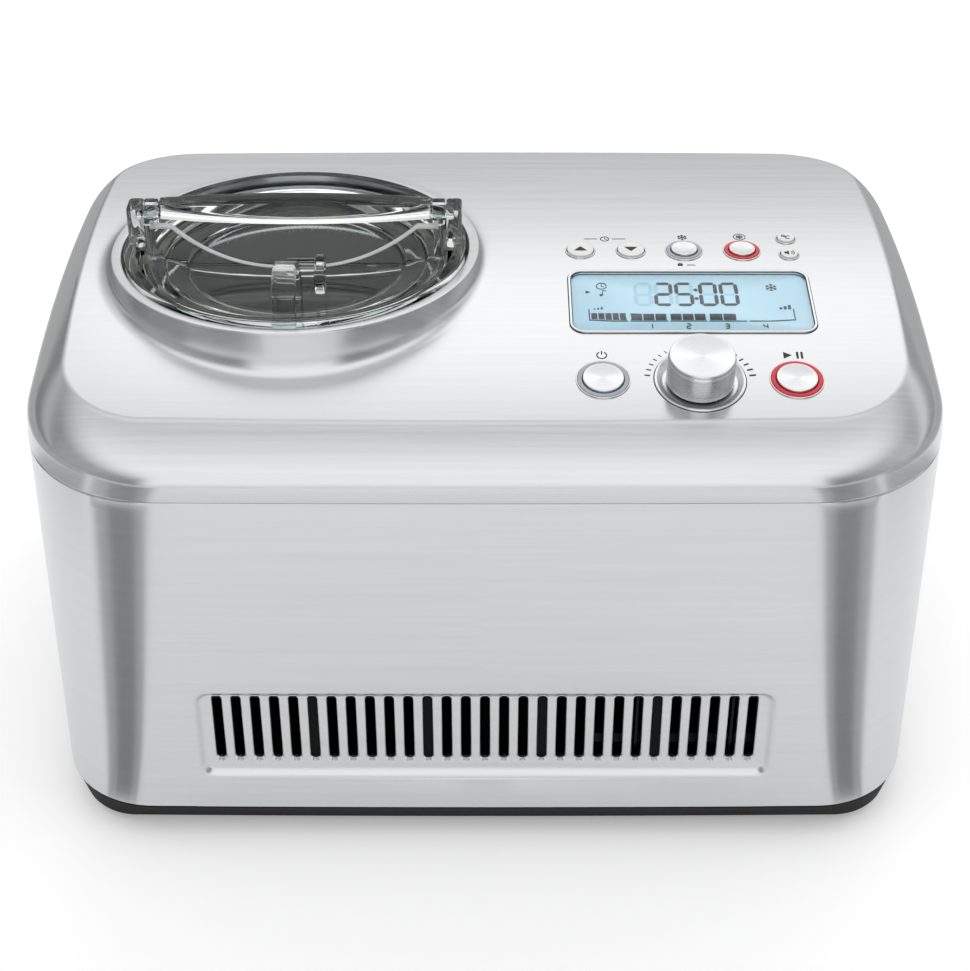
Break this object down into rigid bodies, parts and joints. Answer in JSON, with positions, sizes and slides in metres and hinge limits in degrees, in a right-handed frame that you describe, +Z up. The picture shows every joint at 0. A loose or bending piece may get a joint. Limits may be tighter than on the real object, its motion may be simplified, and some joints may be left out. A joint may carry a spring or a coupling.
{
  "type": "ice cream maker",
  "caption": "Box-shaped countertop ice cream maker with its own compressor: crowned steel cover, lift-out bowl under a clear hinged lid, and a sloping panel with display, dial and buttons.",
  "frame": {"origin": "on the floor plane under the middle of the machine, at the bottom of the feet", "axes": "+X to the right seen from the front, +Y towards the back, +Z up"},
  "size_m": [0.4, 0.2834, 0.2548],
  "materials": {
    "brushed_steel": "horizontally brushed stainless sheet",
    "black_plastic": "fine moulded texture",
    "rubber": "matt",
    "clear_plastic": "polished clear moulding",
    "anodised_aluminium": "satin anodised",
    "spun_aluminium": "spun and diamond cut",
    "foam": "rigid insulating foam, light",
    "copper": "drawn copper tube",
    "steel": "bright turned steel",
    "bronze": "sintered bronze",
    "nylon": "moulded nylon",
    "black_enamel": "baked black enamel",
    "circuit_board": "green solder mask",
    "lit_display": "backlit liquid crystal panel",
    "white_button": "satin white cap",
    "clear_ring": "clear light guide",
    "red_ring": "red light guide",
    "paddle_plastic": "moulded food-safe plastic"
  },
  "bodies": {
    "cabinet": {"base_tray": "black_plastic", "body_shell": "brushed_steel", "intake_screen": "black_plastic", "rear_vent_panel": "black_plastic", "power_inlet": "black_plastic", "top_cover": "brushed_steel", "power_light_ring": "clear_ring", "pre_cool_light_ring": "clear_ring", "start_light_ring": "red_ring", "keep_cool_light_ring": "red_ring", "dial_dish": "spun_aluminium", "dial_encoder": "steel", "display_window": "clear_plastic", "display_frame_ring": "spun_aluminium", "lcd_module": "lit_display", "display_board": "circuit_board", "freezing_chamber": "anodised_aluminium", "evaporator_coil": "copper", "insulation_jacket": "foam", "spindle_bush": "bronze", "gearbox_housing": "black_plastic", "gearbox_plate": "black_plastic", "intermediate_axle": "steel", "drive_motor": "steel", "compressor": "black_enamel", "condenser": "anodised_aluminium", "fan_shroud": "black_plastic", "fan_motor": "steel", "suction_line": "copper", "discharge_line": "copper", "filter_drier": "copper", "power_board": "circuit_board", "foot_front_left": "rubber", "foot_front_right": "rubber", "foot_rear_left": "rubber", "foot_rear_right": "rubber"},
    "bowl": {"ice_cream_bowl": "anodised_aluminium"},
    "bail": {"bowl_handle": "steel"},
    "paddle": {"paddle": "paddle_plastic"},
    "spindle": {"drive_spindle": "steel", "output_gear": "nylon"},
    "intermediate": {"intermediate_gear": "nylon"},
    "pinion": {"motor_pinion": "steel"},
    "lid": {"lid": "clear_plastic", "lid_handle": "clear_plastic"},
    "hatch": {"lid_hatch": "clear_plastic"},
    "fan": {"condenser_fan": "black_plastic"},
    "dial": {"dial_knob": "spun_aluminium"},
    "power_button": {"power_button": "spun_aluminium"},
    "start_pause_button": {"start_pause_button": "spun_aluminium"},
    "pre_cool_button": {"pre_cool_button": "spun_aluminium"},
    "keep_cool_button": {"keep_cool_button": "spun_aluminium"},
    "timer_up_button": {"timer_up_button": "white_button"},
    "timer_down_button": {"timer_down_button": "white_button"},
    "unit_button": {"unit_button": "white_button"},
    "sound_button": {"sound_button": "white_button"}
  },
  "joints": [
    {"name": "bowl_lift", "type": "slide", "parent": "cabinet", "child": "bowl", "axis": [0, 0, 1], "range_m": [0, 0.15]},
    {"name": "bail_swing", "type": "hinge", "parent": "bowl", "child": "bail", "pos_m": [-0.086, 0, 0.206], "axis": [1, 0, 0], "range_deg": [0, 10]},
    {"name": "paddle_spin", "type": "hinge", "parent": "bowl", "child": "paddle", "pos_m": [-0.086, 0, 0.14], "axis": [0, 0, 1], "continuous": true},
    {"name": "lid_lift", "type": "slide", "parent": "bowl", "child": "lid", "axis": [0, 0.0471, 0.9989], "range_m": [0, 0.1]},
    {"name": "hatch_hinge", "type": "hinge", "parent": "lid", "child": "hatch", "pos_m": [-0.086, 0.0062, 0.24772], "axis": [-1, 0, 0], "range_deg": [0, 100]},
    {"name": "spindle_spin", "type": "hinge", "parent": "cabinet", "child": "spindle", "pos_m": [-0.086, 0, 0.088], "axis": [0, 0, 1], "continuous": true},
    {"name": "intermediate_spin", "type": "hinge", "parent": "cabinet", "child": "intermediate", "pos_m": [-0.086, -0.0375, 0.08], "axis": [0, 0, 1], "continuous": true},
    {"name": "pinion_spin", "type": "hinge", "parent": "cabinet", "child": "pinion", "pos_m": [-0.056, -0.0375, 0.074], "axis": [0, 0, 1], "continuous": true},
    {"name": "fan_spin", "type": "hinge", "parent": "cabinet", "child": "fan", "pos_m": [0.104, -0.1018, 0.086], "axis": [0, 1, 0], "continuous": true},
    {"name": "dial_turn", "type": "hinge", "parent": "cabinet", "child": "dial", "pos_m": [0.091, -0.09, 0.2189], "axis": [0, -0.1774, 0.9841], "continuous": true},
    {"name": "power_button_press", "type": "slide", "parent": "cabinet", "child": "power_button", "axis": [0, 0.1774, -0.9841], "range_m": [0, 0.001], "stiffness_N_per_m": 1500, "springref_m": -0.0005},
    {"name": "start_pause_button_press", "type": "slide", "parent": "cabinet", "child": "start_pause_button", "axis": [0, 0.1774, -0.9841], "range_m": [0, 0.001], "stiffness_N_per_m": 1500, "springref_m": -0.0005},
    {"name": "pre_cool_button_press", "type": "slide", "parent": "cabinet", "child": "pre_cool_button", "axis": [0, 0.0368, -0.9993], "range_m": [0, 0.001], "stiffness_N_per_m": 1500, "springref_m": -0.0005},
    {"name": "keep_cool_button_press", "type": "slide", "parent": "cabinet", "child": "keep_cool_button", "axis": [0, 0.0368, -0.9993], "range_m": [0, 0.001], "stiffness_N_per_m": 1500, "springref_m": -0.0005},
    {"name": "timer_up_button_press", "type": "slide", "parent": "cabinet", "child": "timer_up_button", "axis": [0, 0.0368, -0.9993], "range_m": [0, 0.001], "stiffness_N_per_m": 1500, "springref_m": -0.0005},
    {"name": "timer_down_button_press", "type": "slide", "parent": "cabinet", "child": "timer_down_button", "axis": [0, 0.0368, -0.9993], "range_m": [0, 0.001], "stiffness_N_per_m": 1500, "springref_m": -0.0005},
    {"name": "unit_button_press", "type": "slide", "parent": "cabinet", "child": "unit_button", "axis": [0, 0.0205, -0.9998], "range_m": [0, 0.001], "stiffness_N_per_m": 1500, "springref_m": -0.0005},
    {"name": "sound_button_press", "type": "slide", "parent": "cabinet", "child": "sound_button", "axis": [0, 0.042, -0.9991], "range_m": [0, 0.001], "stiffness_N_per_m": 1500, "springref_m": -0.0005}
  ],
  "couplings": [
    {"joint": "paddle_spin", "follows": "spindle_spin", "ratio": 1},
    {"joint": "intermediate_spin", "follows": "spindle_spin", "ratio": -4},
    {"joint": "pinion_spin", "follows": "spindle_spin", "ratio": 12}
  ]
}
